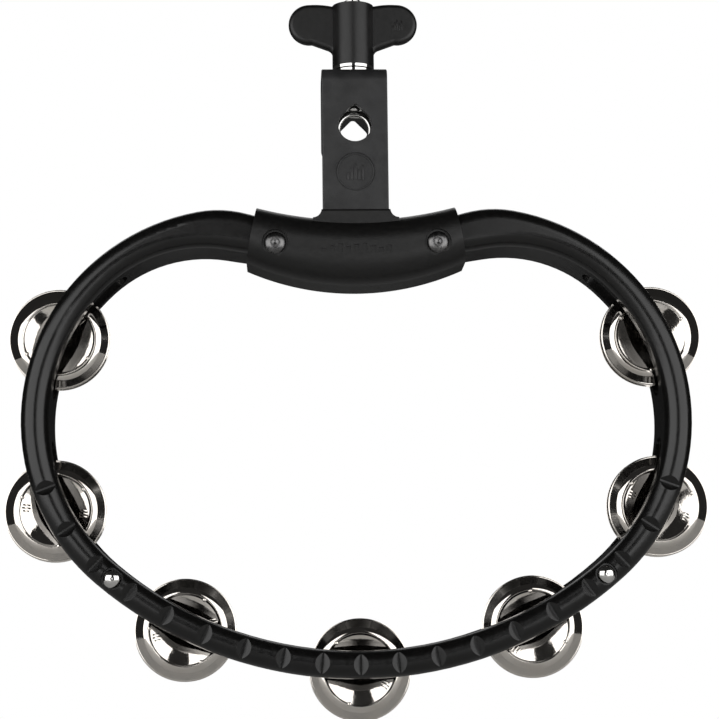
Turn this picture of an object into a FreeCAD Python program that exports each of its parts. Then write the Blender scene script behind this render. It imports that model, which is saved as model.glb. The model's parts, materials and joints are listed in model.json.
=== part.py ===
import FreeCAD, Part
import Sketcher

import math
import os

# A rod-mounted tambourine: a kidney-shaped hoop of two plastic mouldings riveted together, seven pairs
# of jingles on pins in its slots, and a steel bracket whose eye bolt and wing nut clamp a stand's rod.
# The rod's axis runs along Y through the origin. X is to the right, Z is up and the front faces -Y.

Vector = FreeCAD.Vector
Rotation = FreeCAD.Rotation
Placement = FreeCAD.Placement

doc = FreeCAD.newDocument("tambourine")
sheet = doc.addObject("Spreadsheet::Sheet", "dims")

DIMENSIONS = (
    # the hoop's outline, from outside arcs that meet in tangents
    ("hoopWidth", 254.0, "outside width of the hoop"),
    ("hoopBottom", -211.7, "height of the hoop's lowest point"),
    ("bottomRadius", 152.0, "outside radius along the bottom"),
    ("sideRadius", 81.0, "outside radius of the sides"),
    ("humpRadius", 42.0, "outside radius over a hump"),
    ("humpAngle", 169.65, "direction from straight down at which that radius starts"),
    ("dipRadius", 150.0, "outside radius of the dip between the humps"),
    ("innerHumpRadius", 52.0, "inside radius under a hump"),
    ("innerHumpAngle", 137.5, "direction from straight down at which that radius starts"),
    ("innerDipRadius", 300.0, "inside radius along the grip"),
    # the hoop's section
    ("hoopDepth", 32.0, "front face to back face"),
    ("railWidth", 10.5, "radial width of a rail"),
    ("railRound", 5.1, "rounding of a rail's outer edges"),
    ("slotDepth", 14.0, "gap between the two rails"),
    ("slotLength", 50.4, "length of a jingle slot"),
    ("slotExtra", 10.0, "how much further the top slots run towards the grip"),
    ("slotRound", 6.0, "rounding of a slot's corners"),
    # what sits along the hoop
    ("jinglePitch", 68.0, "distance between jingle pins along the rail"),
    ("notchPitch", 14.1, "distance between the middle notches"),
    ("notchSpread", 0.19, "how the notches spread: grows with the square of their number"),
    ("notchWidth", 5.4, "width of a notch at the rail's crest"),
    ("notchFloor", 0.7, "width of a notch's flat floor"),
    ("notchCut", 1.6, "depth of a notch"),
    ("pinRadius", 1.45, "jingle pin"),
    ("socketRadius", 1.5, "hole that a jingle pin turns in"),
    ("socketCut", 4.0, "depth of that hole in each rail"),
    ("pinGap", 0.1, "end play of a pin in its holes"),
    # jingles
    ("jingleRadius", 19.3, "outside radius"),
    ("jingleHole", 3.3, "radius of the hole in the middle"),
    ("jingleHang", 1.8, "drop of a jingle whose hole hangs on its pin"),
    ("jingleSheet", 0.7, "thickness of the sheet"),
    ("jingleFlat", 6.8, "radius of the flat in the middle of the bell"),
    ("jingleBell", 13.9, "radius at the bell's mouth"),
    ("jingleStep", 1.2, "width of the step inside the mouth"),
    ("jingleDepth", 2.75, "depth of the bell"),
    ("jingleCrest", 4.05, "distance of a jingle's crest from the hoop's middle plane"),
    # rivets
    ("rivetAlong", 99.6, "distance of a rivet from the hoop's bottom along the rail"),
    ("rivetHead", 3.4, "radius of a rivet's domed head"),
    ("rivetShank", 1.6, "radius of a rivet's shank"),
    ("rivetRecess", 4.15, "radius of the recess round a rivet's head"),
    ("recessCut", 1.5, "depth of that recess"),
    # saddle covers
    ("coverDepth", 18.5, "middle plane to a cover's outer face"),
    ("coverRound", 10.5, "rounding of a cover's long edges"),
    ("coverTopHalf", 37.9, "half length along the top"),
    ("coverBottomHalf", 42.0, "half length along the bottom"),
    ("coverTopMid", -37.2, "height of the top edge in the middle"),
    ("coverTopEnd", -32.3, "height of the top edge at an end"),
    ("coverBottomMid", -62.7, "height of the bottom edge in the middle"),
    ("coverBottomEnd", -53.8, "height of the bottom edge at an end"),
    ("coverWall", 3.0, "wall round the hollow under the hoop"),
    ("coverGap", 0.15, "gap between a cover and the hoop"),
    ("collarTop", -33.8, "height of the collar's rim round the bracket"),
    ("collarWall", 1.4, "thickness of that rim in front of and behind the bracket"),
    ("collarFlare", 3.3, "radius of the hollow in which the collar spreads at each side"),
    ("bossRise", 1.0, "rounding of the collar's front edge"),
    ("markCut", 0.35, "depth of the row of bars cut in the front cover"),
    ("markPitch", 3.1, "distance between two of those bars"),
    ("markWidth", 1.7, "width of a bar"),
    ("markFoot", -51.4, "height of the line that the bars stand on"),
    # cover screws
    ("screwX", 31.0, "distance of a screw from the middle"),
    ("screwZ", -47.6, "height of a screw"),
    ("screwHead", 4.2, "radius of a screw's head"),
    ("screwShank", 1.5, "radius of a screw's shank"),
    ("screwHole", 1.8, "radius of the clearance hole"),
    ("screwRecess", 5.1, "radius of the recess round a screw's head"),
    ("screwCross", 1.4, "depth of the cross in a screw's head"),
    ("bossRadius", 4.0, "radius of the rear cover's screw bosses"),
    ("bossHole", 4.15, "radius of the rear hoop's holes round those bosses"),
    ("screwSeat", 17.3, "distance of a head's underside from the middle plane"),
    ("screwEnd", 10.0, "distance of a screw's point behind the middle plane"),
    # bracket
    ("bracketWidth", 25.4, "width of the steel strip"),
    ("bracketDepth", 26.0, "outside depth across the two legs"),
    ("plate", 3.0, "thickness of the strip"),
    ("bendRadius", 5.5, "outside radius of a bend"),
    ("bracketTop", 23.0, "height of the bracket's top face"),
    ("rearLegEnd", -9.1, "height of the rear leg's end"),
    ("footEnd", -58.0, "height of the front leg's end"),
    ("footHoleX", 7.0, "distance of a foot hole from the middle"),
    ("footHoleZ", -46.0, "height of the foot holes"),
    ("footHole", 2.1, "radius of a foot hole"),
    ("legCorner", 4.5, "rounding of the rear leg's corners"),
    ("edgeRound", 0.5, "rounding of the strip's edges"),
    ("dropRadius", 6.4, "radius of the round part of a teardrop hole"),
    ("dropTip", 1.5, "rounding of a teardrop's point"),
    ("dropCentre", -0.5, "height of the round part's centre"),
    ("sealRadius", 7.6, "radius of the round stamping on the front leg"),
    ("sealZ", -18.9, "height of that stamping"),
    ("sealCut", 0.5, "depth of that stamping"),
    ("studHole", 4.4, "radius of the stud's hole in the top"),
    # eye bolt
    ("eyeHole", 5.3, "radius of the eye's hole"),
    ("eyeRadius", 9.3, "outside radius of the eye"),
    ("eyeDepth", 8.0, "thickness of the eye"),
    ("eyeRound", 1.5, "rounding of the eye's edges"),
    ("studRadius", 3.95, "outside radius of the stud"),
    ("studTop", 53.2, "height of the stud's end"),
    ("studChamfer", 1.0, "chamfer at the stud's end"),
    # wing nut, its insert and the washer
    ("washerRadius", 7.8, "outside radius of the washer"),
    ("washerHole", 4.3, "radius of the washer's hole"),
    ("washerThick", 1.2, "thickness of the washer"),
    ("nutGap", 0.1, "gap between the washer and the insert's flange"),
    ("flangeThick", 1.4, "thickness of the insert's flange"),
    ("hubRadius", 8.15, "outside radius of the wing nut's hub and the flange"),
    ("hubTop", 50.7, "height of the hub's top"),
    ("insertRadius", 5.5, "outside radius of the insert's sleeve"),
    ("insertHole", 4.0, "radius of the insert's bore"),
    ("insertTop", 46.0, "height of the sleeve's end"),
    ("wingTop", 51.4, "height of the wings' top edge"),
    ("wingEndX", 17.2, "centre of a wing's round end"),
    ("wingEndRadius", 8.1, "radius of a wing's round end"),
    ("wingFoot", 30.4, "height at which a wing's lower edge meets the hub"),
    ("wingFillet", 2.6, "rise of the hollow between the wing's lower edge and the hub"),
    ("wingThick", 4.6, "thickness of a wing"),
    ("wingRound", 1.9, "rounding of a wing's edges"),
)

for row, (alias, number, note) in enumerate(DIMENSIONS, start=1):
    sheet.set("A%d" % row, alias)
    sheet.set("B%d" % row, str(number))
    sheet.set("C%d" % row, note)
    sheet.setAlias("B%d" % row, alias)
doc.recompute()

FRONT = -1
REAR = 1
JINGLES = 7
NOTCHES = 19
MARK_HEIGHTS = (1.4, 2.4, 3.2, 2.0, 2.9, 3.4, 2.3, 1.6, 2.6)
SKIP = 8.0


def size(alias):
    return float(sheet.get(alias))


# ---- places along the hoop ----------------------------------------------------------------------

def direction(angle):
    """Unit vector in the sketch plane, angle in radians from straight down, turning to the right."""
    return Vector(math.sin(angle), -math.cos(angle), 0)


BOTTOM_CENTRE = Vector(0, size("hoopBottom") + size("bottomRadius"), 0)
SIDE_X = size("hoopWidth") / 2 - size("sideRadius")
BOTTOM_ANGLE = math.asin(SIDE_X / (size("bottomRadius") - size("sideRadius")))
SIDE_CENTRE = BOTTOM_CENTRE + direction(BOTTOM_ANGLE) * (size("bottomRadius") - size("sideRadius"))
HUMP_ANGLE = math.radians(size("humpAngle"))
HUMP_CENTRE = SIDE_CENTRE + direction(HUMP_ANGLE) * (size("sideRadius") - size("humpRadius"))
DIP_SPAN = size("humpRadius") + size("dipRadius")
DIP_CENTRE = Vector(0, HUMP_CENTRE.y + math.sqrt(DIP_SPAN ** 2 - HUMP_CENTRE.x ** 2), 0)
DIP_ANGLE = math.asin(HUMP_CENTRE.x / DIP_SPAN)
BOTTOM_MID = size("bottomRadius") - size("railWidth") / 2
SIDE_MID = size("sideRadius") - size("railWidth") / 2


def mirrored(point):
    return Vector(-point.x, point.y, 0)


def alongHoop(distance):
    """Centre, radius and angle of the rail's middle line at a distance from the hoop's bottom."""
    along = abs(distance)
    bottomLength = BOTTOM_MID * BOTTOM_ANGLE
    if along <= bottomLength:
        return BOTTOM_CENTRE, BOTTOM_MID, distance / BOTTOM_MID
    angle = BOTTOM_ANGLE + (along - bottomLength) / SIDE_MID
    if distance > 0:
        return SIDE_CENTRE, SIDE_MID, angle
    return mirrored(SIDE_CENTRE), SIDE_MID, -angle


def railPoint(distance):
    centre, radius, angle = alongHoop(distance)
    return centre + direction(angle) * radius


def jinglePlaces():
    middle = (JINGLES - 1) / 2
    return [(index - middle) * size("jinglePitch") for index in range(JINGLES)]


# ---- sketch helpers -----------------------------------------------------------------------------

def addSketch(body, name, plane, offset=None):
    sketch = body.newObject("Sketcher::SketchObject", name)
    support = [feature for feature in body.Origin.OriginFeatures if feature.Role == plane][0]
    sketch.AttachmentSupport = [(support, "")]
    sketch.MapMode = "FlatFace"
    if offset is not None:
        sketch.AttachmentOffset = offset
    return sketch


def addArc(sketch, centre, radius, start, end):
    """Arc about a centre between two angles from straight down."""
    circle = Part.Circle(centre, Vector(0, 0, 1), radius)
    quarter = math.pi / 2
    sketch.addGeometry(Part.ArcOfCircle(circle, start - quarter, end - quarter))


def addLoop(sketch, start, *steps):
    """Closed loop. A step of two numbers is a line's end, one of four is an arc's middle and end."""
    here = Vector(start[0], start[1], 0)
    for step in steps:
        there = Vector(step[-2], step[-1], 0)
        if len(step) == 4:
            sketch.addGeometry(Part.Arc(here, Vector(step[0], step[1], 0), there))
        else:
            sketch.addGeometry(Part.LineSegment(here, there))
        here = there
    sketch.addGeometry(Part.LineSegment(here, Vector(start[0], start[1], 0)))


def addBox(sketch, left, right, low, high):
    addLoop(sketch, (left, low), (right, low), (right, high), (left, high))


def addCircle(sketch, x, y, radius):
    """Circle whose radius follows an alias of the sheet."""
    index = sketch.addGeometry(Part.Circle(Vector(x, y, 0), Vector(0, 0, 1), size(radius)))
    number = sketch.addConstraint(Sketcher.Constraint("Radius", index, size(radius)))
    sketch.setExpression("Constraints[%d]" % number, "dims.%s" % radius)


# ---- feature helpers ----------------------------------------------------------------------------

def addBody(name):
    body = doc.addObject("PartDesign::Body", name)
    body.Label = name
    return body


def addPad(body, sketch, length, reverse=False, both=False):
    pad = body.newObject("PartDesign::Pad", sketch.Name + "_pad")
    pad.Profile = sketch
    pad.setExpression("Length", length)
    pad.Reversed = reverse
    pad.SideType = "Symmetric" if both else "One side"
    return pad


def addPocket(body, sketch, length, reverse=False, both=False):
    """Pocket that is checked to remove material."""
    doc.recompute()
    before = body.Shape.Volume
    pocket = body.newObject("PartDesign::Pocket", sketch.Name + "_cut")
    pocket.Profile = sketch
    pocket.setExpression("Length", length)
    pocket.Reversed = reverse
    pocket.SideType = "Symmetric" if both else "One side"
    doc.recompute()
    if body.Shape.Volume > before - 1e-3:
        raise RuntimeError("%s removes nothing" % pocket.Name)
    return pocket


def addTurned(body, sketch):
    """Solid of revolution about the sketch's vertical axis."""
    turned = body.newObject("PartDesign::Revolution", sketch.Name + "_turned")
    turned.Profile = sketch
    turned.ReferenceAxis = (sketch, ["V_Axis"])
    turned.Angle = 360
    return turned


def addFillet(body, name, radius, wanted):
    """Fillet of every edge that the test names."""
    doc.recompute()
    base = body.Tip
    edges = ["Edge%d" % number for number, edge in enumerate(base.Shape.Edges, start=1) if wanted(edge)]
    if not edges:
        raise RuntimeError("%s finds no edge" % name)
    fillet = body.newObject("PartDesign::Fillet", name)
    fillet.Base = (base, edges)
    fillet.setExpression("Radius", radius)
    doc.recompute()
    return fillet


def onPlaneY(edge, y):
    box = edge.BoundBox
    return abs(box.YMin - y) < 1e-3 and abs(box.YMax - y) < 1e-3


def isLine(edge):
    return isinstance(edge.Curve, (Part.Line, Part.LineSegment))


def atHeight(distance):
    return Placement(Vector(0, 0, distance), Rotation())


# ---- hoop ---------------------------------------------------------------------------------------

def addHoopOutline(sketch, grow):
    """Outer and inner edge of the hoop, moved apart by the growth on each side."""
    outerSide = size("sideRadius") + grow
    outerHump = size("humpRadius") + grow
    innerBottom = size("bottomRadius") - size("railWidth") - grow
    innerSide = size("sideRadius") - size("railWidth") - grow
    hump = size("innerHumpRadius") - grow
    humpAngle = math.radians(size("innerHumpAngle"))
    humpCentre = SIDE_CENTRE + direction(humpAngle) * (innerSide - hump)
    gripRadius = size("innerDipRadius") + grow
    gripRise = math.sqrt((hump + gripRadius) ** 2 - humpCentre.x ** 2)
    gripCentre = Vector(0, humpCentre.y + gripRise, 0)
    gripAngle = math.asin(humpCentre.x / (hump + gripRadius))
    addArc(sketch, BOTTOM_CENTRE, size("bottomRadius") + grow, -BOTTOM_ANGLE, BOTTOM_ANGLE)
    addArc(sketch, SIDE_CENTRE, outerSide, BOTTOM_ANGLE, HUMP_ANGLE)
    addArc(sketch, HUMP_CENTRE, outerHump, HUMP_ANGLE, math.pi + DIP_ANGLE)
    addArc(sketch, DIP_CENTRE, size("dipRadius") - grow, -DIP_ANGLE, DIP_ANGLE)
    addArc(sketch, mirrored(HUMP_CENTRE), outerHump, -math.pi - DIP_ANGLE, -HUMP_ANGLE)
    addArc(sketch, mirrored(SIDE_CENTRE), outerSide, -HUMP_ANGLE, -BOTTOM_ANGLE)
    addArc(sketch, BOTTOM_CENTRE, innerBottom, -BOTTOM_ANGLE, BOTTOM_ANGLE)
    addArc(sketch, SIDE_CENTRE, innerSide, BOTTOM_ANGLE, humpAngle)
    addArc(sketch, humpCentre, hump, humpAngle, math.pi + gripAngle)
    addArc(sketch, gripCentre, gripRadius, -gripAngle, gripAngle)
    addArc(sketch, mirrored(humpCentre), hump, -math.pi - gripAngle, -humpAngle)
    addArc(sketch, mirrored(SIDE_CENTRE), innerSide, -humpAngle, -BOTTOM_ANGLE)


def addHoopBlank(name, side, grow):
    """Half of the hoop with its rounded outer edges, grown by a gap where it is used as a cutter."""
    body = addBody(name)
    outline = addSketch(body, name + "_outline", "XZ_Plane")
    addHoopOutline(outline, grow)
    addPad(body, outline, "dims.hoopDepth / 2 + %g" % grow, reverse=(side == REAR))
    face = side * (size("hoopDepth") / 2 + grow)
    addFillet(body, name + "_round", "dims.railRound + %g" % grow, lambda edge: onPlaneY(edge, face))
    return body


def cutSlots(body, name, side):
    """Space for the jingles between the two rails, with rounded ends."""
    slots = addSketch(body, name + "_slots", "XZ_Plane")
    half = size("slotLength") / 2
    for number, place in enumerate(jinglePlaces()):
        first = place - half - (size("slotExtra") if number == 0 else 0)
        last = place + half + (size("slotExtra") if number == JINGLES - 1 else 0)
        centre, radius, start = alongHoop(first)
        end = alongHoop(last)[2]
        outer = radius + SKIP
        inner = radius - SKIP
        addArc(slots, centre, outer, start, end)
        addArc(slots, centre, inner, start, end)
        for angle in (start, end):
            ray = direction(angle)
            slots.addGeometry(Part.LineSegment(centre + ray * inner, centre + ray * outer))
    addPocket(body, slots, "dims.slotDepth / 2", reverse=(side == FRONT))
    ceiling = side * size("slotDepth") / 2
    addFillet(body, name + "_slot_round", "dims.slotRound",
              lambda edge: onPlaneY(edge, ceiling) and isLine(edge))


def cutHoles(body, name, side):
    sockets = addSketch(body, name + "_sockets", "XZ_Plane")
    for place in jinglePlaces():
        point = railPoint(place)
        addCircle(sockets, point.x, point.y, "socketRadius")
    addPocket(body, sockets, "dims.slotDepth / 2 + dims.socketCut", reverse=(side == FRONT))
    through = addSketch(body, name + "_holes", "XZ_Plane")
    recess = addSketch(body, name + "_recess", "XZ_Plane", atHeight(-side * size("hoopDepth") / 2))
    for place in (-size("rivetAlong"), size("rivetAlong")):
        point = railPoint(place)
        addCircle(through, point.x, point.y, "rivetShank")
        addCircle(recess, point.x, point.y, "rivetRecess")
    for x in (-size("screwX"), size("screwX")):
        addCircle(through, x, size("screwZ"), "screwHole" if side == FRONT else "bossHole")
    addPocket(body, through, "dims.hoopDepth", reverse=(side == FRONT))
    addPocket(body, recess, "dims.recessCut", reverse=(side == REAR))


def cutNotches(body):
    """Scraping notches across the lower front rail, each a V with a narrow flat floor."""
    slope = (size("notchWidth") - size("notchFloor")) / 2 / size("notchCut")
    above = 1.0
    mouth = size("notchWidth") / 2 + slope * above
    floor = size("notchFloor") / 2
    for index in range(NOTCHES):
        number = index - (NOTCHES - 1) / 2
        place = number * (size("notchPitch") + size("notchSpread") * abs(number))
        angle = alongHoop(place)[2]
        point = railPoint(place)
        outward = direction(angle)
        turn = Rotation(Vector(-outward.y, 0, outward.x), Vector(0, -1, 0), Vector(outward.x, 0, outward.y))
        seat = Placement(Vector(point.x, -size("hoopDepth") / 2, point.y), turn)
        notch = addSketch(body, "notch_%02d" % (index + 1), "XY_Plane", seat)
        addLoop(notch, (-mouth, above), (-floor, -size("notchCut")), (floor, -size("notchCut")), (mouth, above))
        addPocket(body, notch, "dims.railWidth * 1.6", both=True)


def cutFootSeat(body):
    """Seat for the bracket's foot across the front of the grip, and a wider one for the collar."""
    seat = addSketch(body, "foot_seat", "XZ_Plane", atHeight(size("hoopDepth") / 2))
    half = size("bracketWidth") / 2 + 0.4
    addBox(seat, -half, half, size("footEnd") - 2, size("coverTopEnd"))
    addPocket(body, seat, "(dims.hoopDepth - dims.bracketDepth) / 2 + dims.plate + 0.4")
    room = addSketch(body, "collar_seat", "XZ_Plane", atHeight(size("hoopDepth") / 2))
    wide = size("bracketWidth") / 2 + size("collarFlare") + 0.65
    addBox(room, -wide, wide, size("collarTop") - 2 * size("collarFlare") - 0.15, size("coverTopEnd"))
    addPocket(body, room, "(dims.hoopDepth - dims.bracketDepth) / 2 + dims.plate + dims.collarWall + 0.25")


def buildHoop(name, side):
    body = addHoopBlank(name, side, 0)
    cutSlots(body, name, side)
    cutHoles(body, name, side)
    if side == FRONT:
        cutNotches(body)
        cutFootSeat(body)
    return body


# ---- saddle covers ------------------------------------------------------------------------------

def buildCover(name, side):
    """Half of the saddle that wraps the grip and holds the bracket's foot."""
    body = addBody(name)
    outline = addSketch(body, name + "_outline", "XZ_Plane")
    topEnd = size("coverTopEnd")
    bottomEnd = size("coverBottomEnd")
    topHalf = size("coverTopHalf")
    bottomHalf = size("coverBottomHalf")
    addLoop(outline, (-topHalf, topEnd), (0, size("coverTopMid"), topHalf, topEnd), (bottomHalf, bottomEnd),
            (0, size("coverBottomMid"), -bottomHalf, bottomEnd))
    addPad(body, outline, "dims.coverDepth", reverse=(side == REAR))
    face = side * size("coverDepth")
    addFillet(body, name + "_round", "dims.coverRound",
              lambda edge: onPlaneY(edge, face) and not isLine(edge))
    core = addHoopBlank(name + "_core", side, size("coverGap"))
    doc.recompute()
    hollow = body.newObject("PartDesign::Boolean", name + "_seat")
    hollow.Type = "Cut"
    hollow.setObjects([core])
    cutUnderHoop(body, name, side)
    if side == FRONT:
        holdFoot(body)
        cutScrewHoles(body)
        cutMark(body)
    else:
        addScrewBosses(body)
    return body


def cutUnderHoop(body, name, side):
    """Hollow below the grip, inside the cover's wall."""
    wall = size("coverWall")
    space = addSketch(body, name + "_hollow", "XZ_Plane")
    half = size("screwX")
    low = size("coverBottomMid") + wall
    roof = size("coverBottomEnd") + wall
    edge = roof - wall
    addLoop(space, (-half, roof), (half, roof), (half, edge), (0, low, -half, edge))
    addPocket(body, space, "dims.coverDepth - dims.coverWall - 1", reverse=(side == FRONT))


def holdFoot(body):
    """Block in front of the bracket's foot, its two bosses, the collar and the slot for the leg."""
    legFront = size("bracketDepth") / 2
    half = size("bracketWidth") / 2
    gap = size("nutGap")
    top = size("collarTop")
    block = addSketch(body, "foot_block", "XZ_Plane", atHeight(legFront + gap))
    addBox(block, -half - 0.3, half + 0.3, size("footEnd") + 4, size("coverTopMid") - 5.8)
    addPad(body, block, "dims.coverDepth - dims.bracketDepth / 2 - dims.nutGap - 1.2")
    wall = size("collarWall") + gap
    collar = addSketch(body, "collar", "XZ_Plane", atHeight(legFront - size("plate") - wall))
    flare = size("collarFlare")
    inner = half + 0.5
    outer = inner + flare
    bend = flare * (1 - math.sqrt(0.5))
    low = top - flare
    addLoop(collar, (-outer, low - flare), (outer, low - flare), (outer, low),
            (outer - flare + bend, low + bend, inner, top), (-inner, top),
            (-inner - bend, low + bend, -outer, low))
    addPad(body, collar, "dims.plate + 2 * dims.collarWall + 2 * dims.nutGap")
    slot = addSketch(body, "leg_slot", "XY_Plane", atHeight(top + 1))
    addBox(slot, -half - gap, half + gap, -legFront - gap, -legFront + size("plate") + gap)
    addPocket(body, slot, "dims.collarTop + 1 - dims.footEnd + 0.3")
    face = -legFront - wall
    addFillet(body, "collar_edge", "dims.bossRise",
              lambda edge: isLine(edge) and onPlaneY(edge, face) and abs(edge.BoundBox.ZMin - top) < 1e-3)
    bosses = addSketch(body, "foot_bosses", "XZ_Plane", atHeight(legFront + 1))
    for x in (-size("footHoleX"), size("footHoleX")):
        addCircle(bosses, x, size("footHoleZ"), "screwHole")
    addPad(body, bosses, "dims.plate + 1", reverse=True)


def cutScrewHoles(body):
    holes = addSketch(body, "cover_holes", "XZ_Plane")
    recess = addSketch(body, "cover_recess", "XZ_Plane", atHeight(size("coverDepth") + 1))
    for x in (-size("screwX"), size("screwX")):
        addCircle(holes, x, size("screwZ"), "screwHole")
        addCircle(recess, x, size("screwZ"), "screwRecess")
    addPocket(body, holes, "dims.coverDepth + 1", reverse=True)
    addPocket(body, recess, "dims.coverDepth + 1 - dims.screwSeat")


def cutMark(body):
    """Row of shallow upright bars of different heights, as a plain ornament."""
    mark = addSketch(body, "cover_mark", "XZ_Plane", atHeight(size("coverDepth")))
    foot = size("markFoot")
    for place, tall in enumerate(MARK_HEIGHTS):
        x = (place - (len(MARK_HEIGHTS) - 1) / 2) * size("markPitch")
        addBox(mark, x - size("markWidth") / 2, x + size("markWidth") / 2, foot, foot + tall)
    addPocket(body, mark, "dims.markCut")


def addScrewBosses(body):
    """Bosses that reach through the rear hoop and take the screws' threads."""
    start = 1.0
    bosses = addSketch(body, "screw_bosses", "XZ_Plane", atHeight(-start))
    holes = addSketch(body, "pilot_holes", "XZ_Plane")
    for x in (-size("screwX"), size("screwX")):
        addCircle(bosses, x, size("screwZ"), "bossRadius")
        addCircle(holes, x, size("screwZ"), "screwShank")
    addPad(body, bosses, "dims.hoopDepth / 2", reverse=True)
    addPocket(body, holes, "dims.screwEnd + 1")


# ---- screws and rivets --------------------------------------------------------------------------

def addPair(name, master):
    """The master solid and its mirror image about the middle plane, as one node."""
    other = doc.addObject("Part::Mirroring", name + "_mirrored")
    other.Source = master
    other.Base = Vector(0, 0, 0)
    other.Normal = Vector(1, 0, 0)
    pair = doc.addObject("Part::Compound", name)
    pair.Links = [master, other]
    pair.Label = name
    return pair


def buildCoverScrews():
    """Pan-head screws with a cross recess, through the front cover and hoop into the rear cover."""
    body = addBody("cover_screw")
    seat = -size("screwSeat")
    head = size("screwHead")
    shank = size("screwShank")
    rise = 1.5
    point = 2.0
    end = size("screwEnd")
    place = Placement(Vector(size("screwX"), 0, size("screwZ")), Rotation())
    turned = addSketch(body, "screw_profile", "XY_Plane", place)
    addLoop(turned, (0, seat - rise), (head * 0.8, seat - rise * 0.87, head, seat - 0.35), (head, seat),
            (shank, seat), (shank, end - point), (0.3, end), (0, end))
    addTurned(body, turned)
    doc.recompute()
    turn = Rotation(Vector(0, 0, 1), 30)
    cross = addSketch(body, "screw_cross", "XZ_Plane", Placement(Vector(size("screwX"), size("screwZ"), rise - seat),
                                                                turn))
    arm = head * 0.62
    blade = 0.55
    addLoop(cross, (-blade, -arm), (blade, -arm), (blade, -blade), (arm, -blade), (arm, blade), (blade, blade),
            (blade, arm), (-blade, arm), (-blade, blade), (-arm, blade), (-arm, -blade), (-blade, -blade))
    addPocket(body, cross, "dims.screwCross")
    return addPair("cover_screws", body)


def buildRivets():
    """Rivets that hold the hoop's halves together, with a domed head in front and a flat one behind."""
    body = addBody("hoop_rivet")
    point = railPoint(size("rivetAlong"))
    place = Placement(Vector(point.x, 0, point.y), Rotation())
    turned = addSketch(body, "rivet_profile", "XY_Plane", place)
    seat = size("hoopDepth") / 2 - size("recessCut")
    head = size("rivetHead")
    shank = size("rivetShank")
    dome = 2.2
    addLoop(turned, (0, -seat - dome), (head * 0.66, -seat - dome * 0.78, head, -seat - 0.4), (head, -seat),
            (shank, -seat), (shank, seat), (head * 0.8, seat), (head * 0.8, seat + 0.5), (0, seat + 0.9))
    addTurned(body, turned)
    return addPair("hoop_rivets", body)


# ---- bracket ------------------------------------------------------------------------------------

def addTeardrop(sketch):
    """Round hole with a pointed top whose sides lean at 45 degrees."""
    radius = size("dropRadius")
    tip = size("dropTip")
    centre = Vector(0, size("dropCentre"), 0)
    tipCentre = centre + Vector(0, (radius - tip) * math.sqrt(2), 0)
    lean = Vector(math.sqrt(0.5), math.sqrt(0.5), 0)
    right = centre + lean * radius
    left = mirrored(right)
    tipRight = tipCentre + lean * tip
    tipLeft = mirrored(tipRight)
    sketch.addGeometry(Part.Arc(right, centre - Vector(0, radius, 0), left))
    sketch.addGeometry(Part.LineSegment(left, tipLeft))
    sketch.addGeometry(Part.Arc(tipLeft, tipCentre + Vector(0, tip, 0), tipRight))
    sketch.addGeometry(Part.LineSegment(tipRight, right))


def buildBracket():
    """Steel strip bent into a hook: a long front leg, a flat top and a short rear leg."""
    body = addBody("bracket")
    strip = addSketch(body, "strip", "YZ_Plane")
    outer = size("bracketDepth") / 2
    inner = outer - size("plate")
    top = size("bracketTop")
    under = top - size("plate")
    bend = size("bendRadius")
    turn = bend - size("plate")
    corner = bend * (1 - math.sqrt(0.5))
    inside = turn * (1 - math.sqrt(0.5))
    foot = size("footEnd")
    end = size("rearLegEnd")
    addLoop(strip, (-outer, foot), (-outer, top - bend), (-outer + corner, top - corner, -outer + bend, top),
            (outer - bend, top), (outer - corner, top - corner, outer, top - bend), (outer, end), (inner, end),
            (inner, under - turn), (inner - inside, under - inside, inner - turn, under),
            (-inner + turn, under), (-inner + inside, under - inside, -inner, under - turn), (-inner, foot))
    addPad(body, strip, "dims.bracketWidth", both=True)
    addFillet(body, "rear_corners", "dims.legCorner", lambda edge: (
        isLine(edge) and abs(edge.BoundBox.ZMax - end) < 1e-3 and abs(edge.BoundBox.XLength) < 1e-3))
    half = size("bracketWidth") / 2
    addFillet(body, "strip_edges", "dims.edgeRound", lambda edge: (
        abs(abs(edge.CenterOfMass.x) - half) < 1e-3 and edge.BoundBox.XLength < 1e-3
        and edge.BoundBox.ZMin > foot + 0.01))
    drops = addSketch(body, "teardrops", "XZ_Plane")
    addTeardrop(drops)
    addPocket(body, drops, "dims.bracketDepth + 4", both=True)
    stud = addSketch(body, "stud_hole", "XY_Plane", atHeight(top + 1))
    addCircle(stud, 0, 0, "studHole")
    addPocket(body, stud, "dims.plate + 2")
    seal = addSketch(body, "seal", "XZ_Plane", atHeight(outer))
    addCircle(seal, 0, size("sealZ"), "sealRadius")
    addPocket(body, seal, "dims.sealCut")
    holes = addSketch(body, "foot_holes", "XZ_Plane", atHeight(outer + 1))
    for x in (-size("footHoleX"), size("footHoleX")):
        addCircle(holes, x, size("footHoleZ"), "footHole")
    addPocket(body, holes, "dims.plate + 2")
    return body


# ---- eye bolt, wing nut and washer --------------------------------------------------------------

def buildEyeBolt():
    body = addBody("eye_bolt")
    eye = addSketch(body, "eye", "XZ_Plane")
    addCircle(eye, 0, 0, "eyeRadius")
    addCircle(eye, 0, 0, "eyeHole")
    addPad(body, eye, "dims.eyeDepth", both=True)
    addFillet(body, "eye_edges", "dims.eyeRound", lambda edge: edge.BoundBox.YLength < 1e-3)
    stud = addSketch(body, "stud", "XZ_Plane")
    radius = size("studRadius")
    top = size("studTop")
    chamfer = size("studChamfer")
    root = (size("eyeHole") + size("eyeRadius")) / 2
    addLoop(stud, (0, root), (radius, root), (radius, top - chamfer), (radius - chamfer, top), (0, top))
    addTurned(body, stud)
    return body


def buildWasher():
    body = addBody("washer")
    ring = addSketch(body, "washer_ring", "XY_Plane", atHeight(size("bracketTop")))
    addCircle(ring, 0, 0, "washerRadius")
    addCircle(ring, 0, 0, "washerHole")
    addPad(body, ring, "dims.washerThick")
    return body


def flangeBottom():
    return size("bracketTop") + size("washerThick") + size("nutGap")


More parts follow.
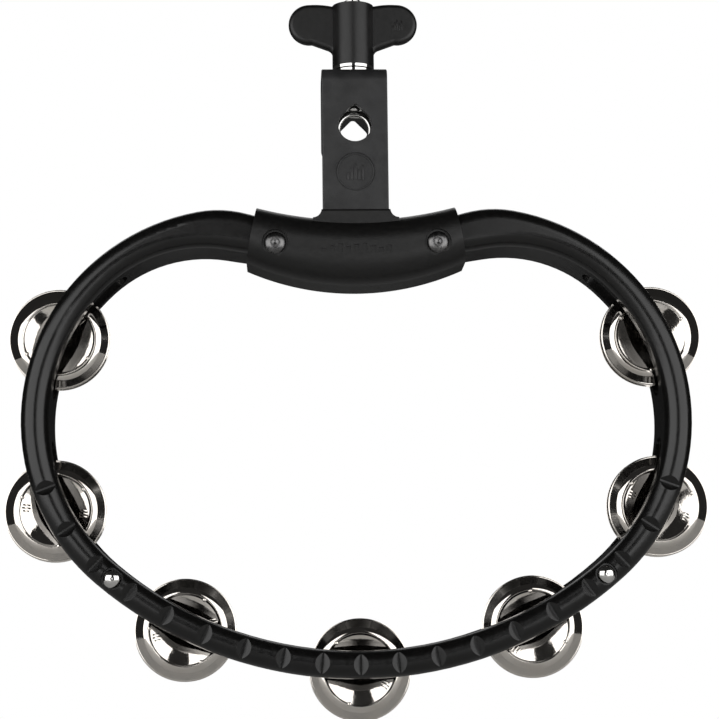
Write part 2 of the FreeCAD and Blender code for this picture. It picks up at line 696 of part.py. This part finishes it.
def buildInsert():
    """Threaded steel insert that is moulded into the wing nut."""
    body = addBody("wing_nut_insert")
    profile = addSketch(body, "insert_profile", "XZ_Plane")
    low = flangeBottom()
    seat = low + size("flangeThick")
    hole = size("insertHole")
    sleeve = size("insertRadius")
    flange = size("hubRadius")
    addLoop(profile, (hole, low), (flange - 0.3, low), (flange, low + 0.3), (flange, seat), (sleeve, seat),
            (sleeve, size("insertTop")), (hole, size("insertTop")))
    addTurned(body, profile)
    return body


def buildWingNut():
    body = addBody("wing_nut")
    wings = addSketch(body, "wings", "XZ_Plane")
    top = size("wingTop")
    radius = size("wingEndRadius")
    end = Vector(size("wingEndX"), top - radius, 0)
    root = size("hubRadius") - 2
    leave = math.radians(-97)
    low = end + Vector(math.cos(leave), math.sin(leave), 0) * radius
    saddle = size("hubTop") - 0.4
    foot = size("wingFoot")
    hub = size("hubRadius") - 0.15
    rise = size("wingFillet")
    addLoop(wings, (-root, foot - 0.5), (root, foot - 0.5), (hub, foot),
            (hub + 0.3 * rise, foot + 0.7 * rise, hub + 0.8 * rise, foot + rise), (low.x, low.y),
            (end.x + radius, end.y, end.x, top), (root + 2 * rise, top - 0.1, root, saddle), (-root, saddle),
            (-root - 2 * rise, top - 0.1, -end.x, top), (-end.x - radius, end.y, -low.x, low.y),
            (-hub - 0.8 * rise, foot + rise), (-hub - 0.3 * rise, foot + 0.7 * rise, -hub, foot))
    addPad(body, wings, "dims.wingThick", both=True)
    half = size("wingThick") / 2
    addFillet(body, "wing_edges", "dims.wingRound",
              lambda edge: onPlaneY(edge, half) or onPlaneY(edge, -half))
    hub = addSketch(body, "hub", "XY_Plane", atHeight(flangeBottom() + size("flangeThick")))
    addCircle(hub, 0, 0, "hubRadius")
    addPad(body, hub, "dims.hubTop - %g" % (flangeBottom() + size("flangeThick")))
    bore = addSketch(body, "bore", "XY_Plane", atHeight(flangeBottom()))
    addCircle(bore, 0, 0, "insertRadius")
    addPocket(body, bore, "dims.insertTop - %g" % flangeBottom(), reverse=True)
    clear = addSketch(body, "stud_clearance", "XY_Plane", atHeight(flangeBottom()))
    addCircle(clear, 0, 0, "studHole")
    addPocket(body, clear, "dims.wingTop", reverse=True)
    return body


# ---- jingles ------------------------------------------------------------------------------------

def buildJingle(name, side, place):
    """Thin disc with a shallow bell in the middle that points at the disc's partner."""
    body = addBody(name)
    profile = addSketch(body, name + "_profile", "XY_Plane")
    crest = size("jingleCrest")
    thick = size("jingleSheet")
    floor = crest - size("jingleDepth")
    hole = size("jingleHole")
    flat = size("jingleFlat")
    mouth = size("jingleBell")
    foot = mouth - size("jingleStep")
    rim = size("jingleRadius")
    bend = (flat + foot) / 2
    middle = (mouth + rim) / 2
    shelf = crest - 1.35
    lip = crest - 0.3
    edge = crest - 0.6

    def level(distance):
        return side * distance

    addLoop(profile, (hole, level(floor)), (flat, level(floor)),
            (bend, level((floor + shelf) / 2 - 0.2), foot, level(shelf)), (mouth, level(lip)),
            (middle, level(crest), rim, level(edge)), (rim, level(edge - thick)),
            (middle, level(crest - thick), mouth + 0.1, level(lip - thick)), (foot + 0.1, level(shelf - thick)),
            (bend, level((floor + shelf) / 2 - 0.2 - thick), flat, level(floor - thick)),
            (hole, level(floor - thick)))
    addTurned(body, profile)
    point = railPoint(place)
    body.Placement = Placement(Vector(point.x, 0, point.y - size("jingleHang")), Rotation())
    return body


def buildPin(name, place):
    body = addBody(name)
    end = size("slotDepth") / 2 + size("socketCut") - size("pinGap")
    profile = addSketch(body, name + "_profile", "XY_Plane")
    radius = size("pinRadius")
    bevel = 0.3
    addLoop(profile, (0, -end), (radius - bevel, -end), (radius, -end + bevel), (radius, end - bevel),
            (radius - bevel, end), (0, end))
    addTurned(body, profile)
    point = railPoint(place)
    body.Placement = Placement(Vector(point.x, 0, point.y), Rotation())
    return body


# ---- the assembly -------------------------------------------------------------------------------

nodes = [
    buildHoop("front_hoop", FRONT),
    buildHoop("rear_hoop", REAR),
    buildCover("front_cover", FRONT),
    buildCover("rear_cover", REAR),
    buildCoverScrews(),
    buildRivets(),
    buildBracket(),
    buildWasher(),
    buildInsert(),
    buildWingNut(),
    buildEyeBolt(),
]
for number, place in enumerate(jinglePlaces(), start=1):
    nodes.append(buildPin("jingle_pin_%d" % number, place))
    nodes.append(buildJingle("front_jingle_%d" % number, FRONT, place))
    nodes.append(buildJingle("rear_jingle_%d" % number, REAR, place))

doc.recompute()
failed = [item.Name for item in doc.Objects if "Invalid" in item.State or "Error" in item.State]
if failed:
    raise RuntimeError("failed objects: %s" % ", ".join(failed))
for node in nodes:
    if node.Shape.isNull() or not node.Shape.isValid():
        raise RuntimeError("%s has no valid shape" % node.Label)

os.makedirs("parts", exist_ok=True)
for node in nodes:
    node.Shape.exportStep("parts/%s.step" % node.Label)
    print("%-18s %2d solids %10.1f mm3" % (node.Label, len(node.Shape.Solids), node.Shape.Volume))
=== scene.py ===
import json
import math
import random

import bmesh
import bpy
from mathutils import Matrix, Vector


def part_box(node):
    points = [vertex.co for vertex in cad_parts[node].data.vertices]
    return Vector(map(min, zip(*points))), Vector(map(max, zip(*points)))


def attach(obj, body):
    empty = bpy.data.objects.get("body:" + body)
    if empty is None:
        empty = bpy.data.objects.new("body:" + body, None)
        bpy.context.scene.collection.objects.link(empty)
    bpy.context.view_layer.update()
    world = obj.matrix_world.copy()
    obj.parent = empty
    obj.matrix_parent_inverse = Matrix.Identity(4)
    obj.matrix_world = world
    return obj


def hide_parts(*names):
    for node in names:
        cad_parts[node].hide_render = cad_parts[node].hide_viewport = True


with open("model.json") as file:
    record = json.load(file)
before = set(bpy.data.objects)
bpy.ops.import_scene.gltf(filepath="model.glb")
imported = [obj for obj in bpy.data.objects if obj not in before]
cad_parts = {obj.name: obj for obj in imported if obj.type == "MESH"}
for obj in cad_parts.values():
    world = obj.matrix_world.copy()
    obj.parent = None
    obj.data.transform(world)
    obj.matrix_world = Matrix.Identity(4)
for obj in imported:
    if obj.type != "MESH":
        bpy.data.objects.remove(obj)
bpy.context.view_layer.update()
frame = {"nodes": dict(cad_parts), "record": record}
nodes = frame["nodes"]
collection = bpy.context.scene.collection
mm = 0.001
noiseSpan = (0.3, 0.7)  # what a noise mostly stays within
profileGap = 0.005 * mm
mergeGap = 0.002 * mm
cutGap = 0.0001 * mm
cornerAngle = math.radians(12)  # a gentler bend in a profile is left as it is
print("frame loaded:", len(nodes), "nodes")


def newMaterial(name):
    material = bpy.data.materials.new(name)
    material.use_nodes = True
    tree = material.node_tree
    shader = tree.nodes["Principled BSDF"]
    where = tree.nodes.new("ShaderNodeTexCoord")
    return material, tree, shader, where.outputs["Object"]


def addNoise(tree, where, size, detail=4, roughness=0.55):
    noise = tree.nodes.new("ShaderNodeTexNoise")
    noise.inputs["Scale"].default_value = 1 / (size * mm)
    noise.inputs["Detail"].default_value = detail
    noise.inputs["Roughness"].default_value = roughness
    tree.links.new(where, noise.inputs["Vector"])
    return noise.outputs["Fac"]


def addRange(tree, value, low, high):
    node = tree.nodes.new("ShaderNodeMapRange")
    node.inputs["From Min"].default_value = noiseSpan[0]
    node.inputs["From Max"].default_value = noiseSpan[1]
    node.inputs["To Min"].default_value = low
    node.inputs["To Max"].default_value = high
    tree.links.new(value, node.inputs["Value"])
    return node.outputs["Result"]


def addColours(tree, value, dark, light):
    mix = tree.nodes.new("ShaderNodeMix")
    mix.data_type = "RGBA"
    mix.inputs["A"].default_value = (*dark, 1)
    mix.inputs["B"].default_value = (*light, 1)
    tree.links.new(value, mix.inputs["Factor"])
    return mix.outputs["Result"]


def addBump(tree, height, depth, before=None):
    bump = tree.nodes.new("ShaderNodeBump")
    bump.inputs["Distance"].default_value = depth * mm
    tree.links.new(height, bump.inputs["Height"])
    if before is not None:
        tree.links.new(before, bump.inputs["Normal"])
    return bump.outputs["Normal"]


mouldedPlastic = {"grain": 0.28, "grainDepth": 0.024, "ripple": 9, "rippleDepth": 0.05, "smear": 1.8,
                  "rough": (0.19, 0.27), "dark": (0.0025, 0.0024, 0.0023), "light": (0.006, 0.0057, 0.0054)}


satinPlastic = {**mouldedPlastic, "rough": (0.32, 0.42)}


def makeMouldedPlastic(name, values):
    material, tree, shader, where = newMaterial(name)
    grain = addNoise(tree, where, values["grain"], detail=3)
    ripple = addNoise(tree, where, values["ripple"])
    smear = addNoise(tree, where, values["smear"], detail=6, roughness=0.7)
    tree.links.new(addColours(tree, addRange(tree, smear, 0, 1), values["dark"], values["light"]),
                   shader.inputs["Base Color"])
    tree.links.new(addRange(tree, smear, *values["rough"]), shader.inputs["Roughness"])
    soft = addBump(tree, ripple, values["rippleDepth"])
    tree.links.new(addBump(tree, grain, values["grainDepth"], before=soft), shader.inputs["Normal"])
    return material


powderCoat = {"grain": 0.5, "grainDepth": 0.03, "cloud": 6, "rough": (0.34, 0.44),
              "dark": (0.016, 0.016, 0.0165), "light": (0.026, 0.026, 0.0265)}


def makePowderCoat(name, values):
    material, tree, shader, where = newMaterial(name)
    grain = addNoise(tree, where, values["grain"], detail=2)
    cloud = addNoise(tree, where, values["cloud"], detail=5)
    tree.links.new(addColours(tree, addRange(tree, cloud, 0, 1), values["dark"], values["light"]),
                   shader.inputs["Base Color"])
    tree.links.new(addRange(tree, cloud, *values["rough"]), shader.inputs["Roughness"])
    tree.links.new(addBump(tree, grain, values["grainDepth"]), shader.inputs["Normal"])
    return material


def makePlating(name, values):
    material, tree, shader, where = newMaterial(name)
    cloud = addNoise(tree, where, values["cloud"], detail=6, roughness=0.6)
    scuff = addNoise(tree, where, values["scuff"], detail=3)
    tree.links.new(addColours(tree, addRange(tree, cloud, 0, 1), values["dark"], values["light"]),
                   shader.inputs["Base Color"])
    tree.links.new(addRange(tree, cloud, *values["rough"]), shader.inputs["Roughness"])
    tree.links.new(addBump(tree, scuff, values["scuffDepth"]), shader.inputs["Normal"])
    shader.inputs["Metallic"].default_value = 1.0
    return material


nickel = {"cloud": 7, "scuff": 5, "scuffDepth": 0.03, "rough": (0.03, 0.10),
          "dark": (0.74, 0.69, 0.63), "light": (0.86, 0.82, 0.77)}
chrome = {"cloud": 3, "scuff": 2, "scuffDepth": 0.01, "rough": (0.05, 0.12),
          "dark": (0.72, 0.71, 0.69), "light": (0.84, 0.83, 0.81)}
blackOxide = {"cloud": 1.2, "scuff": 0.5, "scuffDepth": 0.006, "rough": (0.22, 0.38),
              "dark": (0.10, 0.10, 0.105), "light": (0.24, 0.235, 0.23)}
pinSteel = {"cloud": 1.5, "scuff": 0.4, "scuffDepth": 0.008, "rough": (0.22, 0.35),
            "dark": (0.42, 0.41, 0.40), "light": (0.58, 0.57, 0.55)}

materials = {
    "hoop_plastic": makeMouldedPlastic("hoop_plastic", mouldedPlastic),
    "cover_plastic": makeMouldedPlastic("cover_plastic", satinPlastic),
    "wing_plastic": makeMouldedPlastic("wing_plastic", satinPlastic),
    "bracket_steel": makePowderCoat("bracket_steel", powderCoat),
    "jingle_nickel": makePlating("jingle_nickel", nickel),
    "rivet_chrome": makePlating("rivet_chrome", chrome),
    "fitting_chrome": makePlating("fitting_chrome", chrome),
    "pin_steel": makePlating("pin_steel", pinSteel),
    "screw_steel": makePlating("screw_steel", blackOxide),
}
slotOf = {entry["node"]: entry["material_slot"] for entry in frame["record"]["subparts"]}
for name, node in nodes.items():
    node.data.materials.clear()
    node.data.materials.append(materials[slotOf[name]])
print("finishes made")

def alongY(angle, radius, centre):
    return Vector((centre.x + radius * math.sin(angle), centre.y, centre.z + radius * math.cos(angle)))


def addProfile(bm, points, rounding):
    # closed loop of (radius, distance) in the XY plane, real corners rounded, ready to be spun about Y
    made = [bm.verts.new((radius * mm, distance * mm, 0)) for radius, distance in points]
    bmesh.ops.contextual_create(bm, geom=made)
    corners = []
    for place, vert in enumerate(made):
        before = vert.co - made[place - 1].co
        after = made[(place + 1) % len(made)].co - vert.co
        if before.angle(after) > cornerAngle:
            corners.append(vert)
    bmesh.ops.bevel(bm, geom=corners, offset=rounding * mm, affect="VERTICES", segments=3, profile=0.5,
                    material=-1, clamp_overlap=True)
    bmesh.ops.delete(bm, geom=bm.faces[:], context="FACES_ONLY")
    # points that the rounding left almost together are joined
    bmesh.ops.remove_doubles(bm, verts=bm.verts[:], dist=profileGap)


def spinProfile(bm, axis, steps):
    bmesh.ops.spin(bm, geom=bm.verts[:] + bm.edges[:], cent=(0, 0, 0), axis=axis, dvec=(0, 0, 0),
                   angle=math.tau, steps=steps, use_merge=True, use_duplicate=False)
    bmesh.ops.remove_doubles(bm, verts=bm.verts[:], dist=mergeGap)


def addChain(bm, points):
    # open line of (radius, height) in the XZ plane
    chain = [bm.verts.new((radius * mm, 0, height * mm)) for radius, height in points]
    for one, other in zip(chain, chain[1:]):
        bm.edges.new((one, other))


def joinPart(bm, part):
    mesh = bpy.data.meshes.new("part")
    part.to_mesh(mesh)
    part.free()
    bm.from_mesh(mesh)
    bpy.data.meshes.remove(mesh)


def addBar(bm, centre, width, height, depth, edge):
    # upright bar with bevelled edges, its face towards -Y
    made = bmesh.ops.create_cube(bm, size=1)["verts"]
    bmesh.ops.scale(bm, vec=(width * mm, depth * mm, height * mm), verts=made)
    bmesh.ops.translate(bm, vec=centre, verts=made)
    edges = list({line for vert in made for line in vert.link_edges})
    bmesh.ops.bevel(bm, geom=edges, offset=edge * mm, affect="EDGES", segments=2, profile=0.5, material=-1)


def finishPiece(bm, name, body, slotName, node=None):
    bmesh.ops.recalc_face_normals(bm, faces=bm.faces[:])
    for face in bm.faces:
        face.smooth = True
    mesh = bpy.data.meshes.new(name)
    bm.to_mesh(mesh)
    bm.free()
    piece = bpy.data.objects.new(name, mesh)
    collection.objects.link(piece)
    mesh.materials.append(materials[slotName])
    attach(piece, body)
    if node:
        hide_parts(node)
    return piece


jingle = {
    "steps": 120, "rounding": 0.07, "sheet": 0.7, "rim": 19.3, "wobble": 0.05, "seed": 31,
    "seen": ((3.3, 2.7), (3.6, 2.64), (6.8, 1.95), (10.0, 1.2), (12.85, 0.48), (13.0, 0.44), (13.25, 0.75),
             (13.55, 0.7), (13.75, 0.05), (13.95, 0.09), (18.6, 1.07), (18.85, 1.12), (19.3, 1.8)),
    "ring": 13.4, "dimples": 3, "dimpleRadius": 0.85, "dimpleRise": 0.45, "dimpleDepth": 0.46,
    "markRing": 10.9, "markDepth": 0.97, "marks": 2, "markSize": 3.4, "markBar": 0.66, "markLag": 0.75,
    "markShares": (0.7, 1.0, 0.85), "markThick": 0.34, "markEdge": 0.08, "markLean": math.radians(-14),
    "pairs": 7, "waves": 2, "waveCounts": (2, 4),
}


def addStamping(bm, values, angle):
    # short bars side by side, raised on the bowl and leaning with it
    shares = values["markShares"]
    pitch = values["markSize"] / len(shares)
    lean = Matrix.Rotation(values["markLean"], 3, "X")
    turned = Matrix.Rotation(angle, 3, "Y")
    for place, share in enumerate(shares):
        spot = Vector(((place - (len(shares) - 1) / 2) * pitch * mm, 0, 0))
        before = set(bm.verts)
        tall = values["markSize"] * share
        addBar(bm, spot, values["markBar"], tall, values["markThick"], values["markEdge"])
        fresh = [vert for vert in bm.verts if vert not in before]
        bmesh.ops.rotate(bm, verts=fresh, cent=(0, 0, 0), matrix=lean)
        bmesh.ops.translate(bm, verts=fresh, vec=(0, -values["markDepth"] * mm, values["markRing"] * mm))
        bmesh.ops.rotate(bm, verts=fresh, cent=(0, 0, 0), matrix=turned)


def addDimple(bm, values, angle):
    made = bmesh.ops.create_uvsphere(bm, u_segments=24, v_segments=12, radius=1)["verts"]
    radius = values["dimpleRadius"] * mm
    bmesh.ops.scale(bm, vec=(radius, values["dimpleRise"] * mm, radius), verts=made)
    spot = alongY(angle, values["ring"] * mm, Vector((0, -values["dimpleDepth"] * mm, 0)))
    bmesh.ops.translate(bm, vec=spot, verts=made)


def makeJingle(node, side, body, rng):
    low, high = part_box(node)
    middle = Vector(((low.x + high.x) / 2, 0, (low.z + high.z) / 2))
    crest = low.y if side < 0 else high.y
    bm = bmesh.new()
    seen = jingle["seen"]
    back = [(radius, depth + jingle["sheet"]) for radius, depth in reversed(seen)]
    addProfile(bm, [(radius, -depth) for radius, depth in seen + tuple(back)], jingle["rounding"])
    spinProfile(bm, (0, 1, 0), jingle["steps"])
    # two roundings fold back and leave hairline flaps on the skin, which are cut off
    flaps = {face for edge in bm.edges if len(edge.link_faces) == 1 for face in edge.link_faces}
    bmesh.ops.delete(bm, geom=list(flaps), context="FACES")
    start = rng.uniform(0, math.tau)
    waves = [(rng.randint(*jingle["waveCounts"]), rng.uniform(0, math.tau)) for _ in range(jingle["waves"])]
    for vert in bm.verts:
        reach = math.hypot(vert.co.x, vert.co.z) / (jingle["rim"] * mm)
        angle = math.atan2(vert.co.x, vert.co.z)
        wave = sum(math.sin(count * angle + phase) for count, phase in waves) / len(waves)
        vert.co.y -= jingle["wobble"] * mm * (1 - wave) * reach * reach
    for place in range(jingle["dimples"]):
        addDimple(bm, jingle, start + math.tau * place / jingle["dimples"])
    for place in range(jingle["marks"]):
        addStamping(bm, jingle, start + jingle["markLag"] + math.tau * place / jingle["marks"])
    # outer face towards -Y in front and +Y behind
    bmesh.ops.scale(bm, vec=(1, -1 if side < 0 else 1, 1), verts=bm.verts[:])
    bmesh.ops.translate(bm, vec=middle + Vector((0, crest, 0)), verts=bm.verts[:])
    return finishPiece(bm, node + "_cymbal", body, "jingle_nickel", node)


rng = random.Random(jingle["seed"])
for number in range(1, jingle["pairs"] + 1):
    for word, side in (("front", -1), ("rear", 1)):
        node = "%s_jingle_%d" % (word, number)
        makeJingle(node, side, node, rng)
print("jingles made")


eyeBolt = {
    "steps": 96, "hole": 5.3, "rim": 9.3, "half": 4.0, "edge": 1.3, "edgeSegments": 6, "holeEdge": 0.8,
    "holeSegments": 5,
    "shoulder": ((0, 7.2), (5.2, 7.2), (4.6, 9.8), (3.95, 10.9), (3.5, 11.6), (0, 11.6)),
    "thread": 3.95, "root": 3.42, "pitch": 1.25, "from": 11.2, "to": 53.2, "threadSteps": 40, "chamfer": 0.9,
    "threadShares": (0.12, 0.44, 0.68), "threadMerge": 0.004 * mm,
}


def addEye(bm, values):
    ring = bmesh.new()
    half, hole, rim = values["half"], values["hole"], values["rim"]
    section = ((hole, -half), (rim, -half), (rim, half), (hole, half))
    corners = [ring.verts.new((radius * mm, depth * mm, 0)) for radius, depth in section]
    bmesh.ops.contextual_create(ring, geom=corners)
    outer = [vert for vert in ring.verts if vert.co.x > (hole + rim) / 2 * mm]
    inner = [vert for vert in ring.verts if vert not in outer]
    bmesh.ops.bevel(ring, geom=outer, offset=values["edge"] * mm, affect="VERTICES",
                    segments=values["edgeSegments"], profile=0.5, material=-1)
    bmesh.ops.bevel(ring, geom=inner, offset=values["holeEdge"] * mm, affect="VERTICES",
                    segments=values["holeSegments"], profile=0.5, material=-1)
    bmesh.ops.delete(ring, geom=ring.faces[:], context="FACES_ONLY")
    spinProfile(ring, (0, 1, 0), values["steps"])
    joinPart(bm, ring)


def addShoulder(bm, values):
    part = bmesh.new()
    addChain(part, values["shoulder"])
    spinProfile(part, (0, 0, 1), values["steps"])
    joinPart(bm, part)


def addThread(bm, values):
    part = bmesh.new()
    pitch, root, top = values["pitch"], values["root"], values["thread"]
    start = values["from"] - pitch
    turns = math.ceil((values["to"] - start) / pitch) + 1
    rise, crest, fall = values["threadShares"]
    shape = ((root, 0), (root, rise * pitch), (top, crest * pitch), (top, fall * pitch), (root, pitch))
    addChain(part, [(radius, start + height) for radius, height in shape])
    steps = turns * values["threadSteps"]
    bmesh.ops.spin(part, geom=part.verts[:] + part.edges[:], cent=(0, 0, 0), axis=(0, 0, 1),
                   dvec=(0, 0, pitch * mm / values["threadSteps"]), angle=math.tau * turns, steps=steps,
                   use_merge=False, use_duplicate=False)
    bmesh.ops.remove_doubles(part, verts=part.verts[:], dist=values["threadMerge"])
    for height, keep in ((values["from"], 1), (values["to"], -1)):
        cut = bmesh.ops.bisect_plane(part, geom=part.verts[:] + part.edges[:] + part.faces[:], dist=cutGap,
                                     plane_co=(0, 0, height * mm), plane_no=(0, 0, -keep), clear_outer=True)
        rim = [item for item in cut["geom_cut"] if isinstance(item, bmesh.types.BMEdge)]
        bmesh.ops.contextual_create(part, geom=rim)
    for vert in part.verts:
        over = vert.co.z - (values["to"] - values["chamfer"]) * mm
        radius = math.hypot(vert.co.x, vert.co.y)
        limit = top * mm - max(over, 0)
        if radius > limit:
            vert.co.x *= limit / radius
            vert.co.y *= limit / radius
    joinPart(bm, part)


bm = bmesh.new()
addEye(bm, eyeBolt)
addShoulder(bm, eyeBolt)
addThread(bm, eyeBolt)
finishPiece(bm, "eye_bolt_threaded", "eye_bolt", "fitting_chrome", "eye_bolt")
print("eye bolt made")


barMarks = {"edge": 0.09, "fill": 0.62, "sink": 0.02, "heights": (0.45, 0.8, 1.0, 0.65, 0.9)}


def makeBars(centre, width, height, depth):
    # plain bars of different heights side by side, standing on one line
    bm = bmesh.new()
    heights = barMarks["heights"]
    pitch = width / len(heights)
    for place, share in enumerate(heights):
        x = (place - (len(heights) - 1) / 2) * pitch
        tall = height * share
        spot = centre + Vector((x * mm, 0, (tall - height) / 2 * mm))
        addBar(bm, spot, pitch * barMarks["fill"], tall, depth, barMarks["edge"])
    return bm


sealMark = {"width": 7.2, "height": 6.4, "rise": 0.34, "ring": 6.7, "ringWidth": 0.5, "z": -18.9,
            "recess": 0.5, "ringSink": 0.05, "ringEdge": 0.1, "ringSteps": 96}


def makeSeal(values):
    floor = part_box("bracket")[0].y + values["recess"] * mm
    centre = Vector((0, floor - values["rise"] / 2 * mm + barMarks["sink"] * mm, values["z"] * mm))
    bm = makeBars(centre, values["width"], values["height"], values["rise"] + 2 * barMarks["sink"])
    return bm, floor


mark, floor = makeSeal(sealMark)
finishPiece(mark, "bracket_mark", "frame", "bracket_steel")

ring = bmesh.new()
inner, outer = sealMark["ring"], sealMark["ring"] + sealMark["ringWidth"]
sink, rise = sealMark["ringSink"], sealMark["rise"]
addProfile(ring, [(inner, sink), (outer, sink), (outer, -rise), (inner, -rise)], sealMark["ringEdge"])
spinProfile(ring, (0, 1, 0), sealMark["ringSteps"])
bmesh.ops.translate(ring, vec=(0, floor, sealMark["z"] * mm), verts=ring.verts[:])
finishPiece(ring, "bracket_mark_ring", "frame", "bracket_steel")

wingMark = {"x": 17.4, "z": 42.6, "width": 4.4, "height": 4.6, "rise": 0.3, "face": -2.3}
face = wingMark["face"] * mm
depth = face - wingMark["rise"] / 2 * mm + barMarks["sink"] * mm
centre = Vector((wingMark["x"] * mm, depth, wingMark["z"] * mm))
mark = makeBars(centre, wingMark["width"], wingMark["height"], wingMark["rise"] + 2 * barMarks["sink"])
finishPiece(mark, "wing_mark", "wing_nut", "wing_plastic")
print("marks made")


stage = {"floorHeight": -300 * mm, "floorRadius": 900 * mm, "floor": (0.82, 0.82, 0.81),
         "floorRough": 0.6, "floorSteps": 96, "background": 1.0, "room": 0.02}


def directionTo(azimuth, elevation):
    turn, rise = math.radians(azimuth), math.radians(elevation)
    return Vector((math.sin(turn) * math.cos(rise), -math.cos(turn) * math.cos(rise), math.sin(rise)))


def makeStage(values):
    bm = bmesh.new()
    bmesh.ops.create_circle(bm, cap_ends=True, segments=values["floorSteps"], radius=values["floorRadius"])
    bmesh.ops.translate(bm, verts=bm.verts, vec=(0, 0, values["floorHeight"]))
    mesh = bpy.data.meshes.new("floor")
    bm.to_mesh(mesh)
    bm.free()
    floor = bpy.data.objects.new("floor", mesh)
    collection.objects.link(floor)
    material, _, shader, _ = newMaterial("floor_paint")
    shader.inputs["Base Color"].default_value = (*values["floor"], 1)
    shader.inputs["Roughness"].default_value = values["floorRough"]
    mesh.materials.append(material)
    world = bpy.data.worlds.new("studio")
    world.use_nodes = True
    bpy.context.scene.world = world
    tree = world.node_tree
    room = tree.nodes["Background"]
    room.inputs["Color"].default_value = (1, 1, 1, 1)
    room.inputs["Strength"].default_value = values["room"]
    seen = tree.nodes.new("ShaderNodeBackground")
    seen.inputs["Color"].default_value = (1, 1, 1, 1)
    seen.inputs["Strength"].default_value = values["background"]
    ray = tree.nodes.new("ShaderNodeLightPath")
    mix = tree.nodes.new("ShaderNodeMixShader")
    tree.links.new(ray.outputs["Is Camera Ray"], mix.inputs["Fac"])
    tree.links.new(room.outputs["Background"], mix.inputs[1])
    tree.links.new(seen.outputs["Background"], mix.inputs[2])
    tree.links.new(mix.outputs["Shader"], tree.nodes["World Output"].inputs["Surface"])


makeStage(stage)

# each softbox: azimuth and elevation as seen from the object, distance, width, height, power
softboxes = {
    "softbox_left": (-44, 6, 1.3, 1.7, 1.2, 12),
    "softbox_right": (44, 6, 1.3, 1.7, 1.2, 12),
    "softbox_back": (180, 40, 1.3, 1.4, 0.5, 2.5),
}
middle = Vector((0, 0, -92 * mm))


def makeSoftbox(name, azimuth, elevation, distance, width, height, power):
    light = bpy.data.lights.new(name, "AREA")
    light.shape = "RECTANGLE"
    light.size = width
    light.size_y = height
    light.energy = power
    lamp = bpy.data.objects.new(name, light)
    towards = directionTo(azimuth, elevation)
    lamp.location = middle + towards * distance
    lamp.rotation_euler = towards.to_track_quat("Z", "Y").to_euler()
    lamp.visible_camera = False
    collection.objects.link(lamp)


for name, values in softboxes.items():
    makeSoftbox(name, *values)

camera = {"azimuth": -2, "elevation": -8.5, "roll": -0.65, "distance": 0.8, "lens": 105.4,
          "sensor": 36, "nearest": 0.01, "target": (0.8 * mm, -10.75 * mm, -91.6 * mm)}


def makeCamera(values):
    data = bpy.data.cameras.new("camera")
    data.lens = values["lens"]
    data.sensor_width = values["sensor"]
    data.clip_start = values["nearest"]
    seen = bpy.data.objects.new("camera", data)
    towards = directionTo(values["azimuth"], values["elevation"])
    seen.location = Vector(values["target"]) + towards * values["distance"]
    aim = towards.to_track_quat("Z", "Y").to_matrix().to_4x4()
    roll = Matrix.Rotation(math.radians(values["roll"]), 4, "Z")
    seen.rotation_euler = (aim @ roll).to_euler()
    collection.objects.link(seen)
    bpy.context.scene.camera = seen


makeCamera(camera)
bpy.context.scene.view_settings.view_transform = "Standard"
print("stage, lights and camera made")
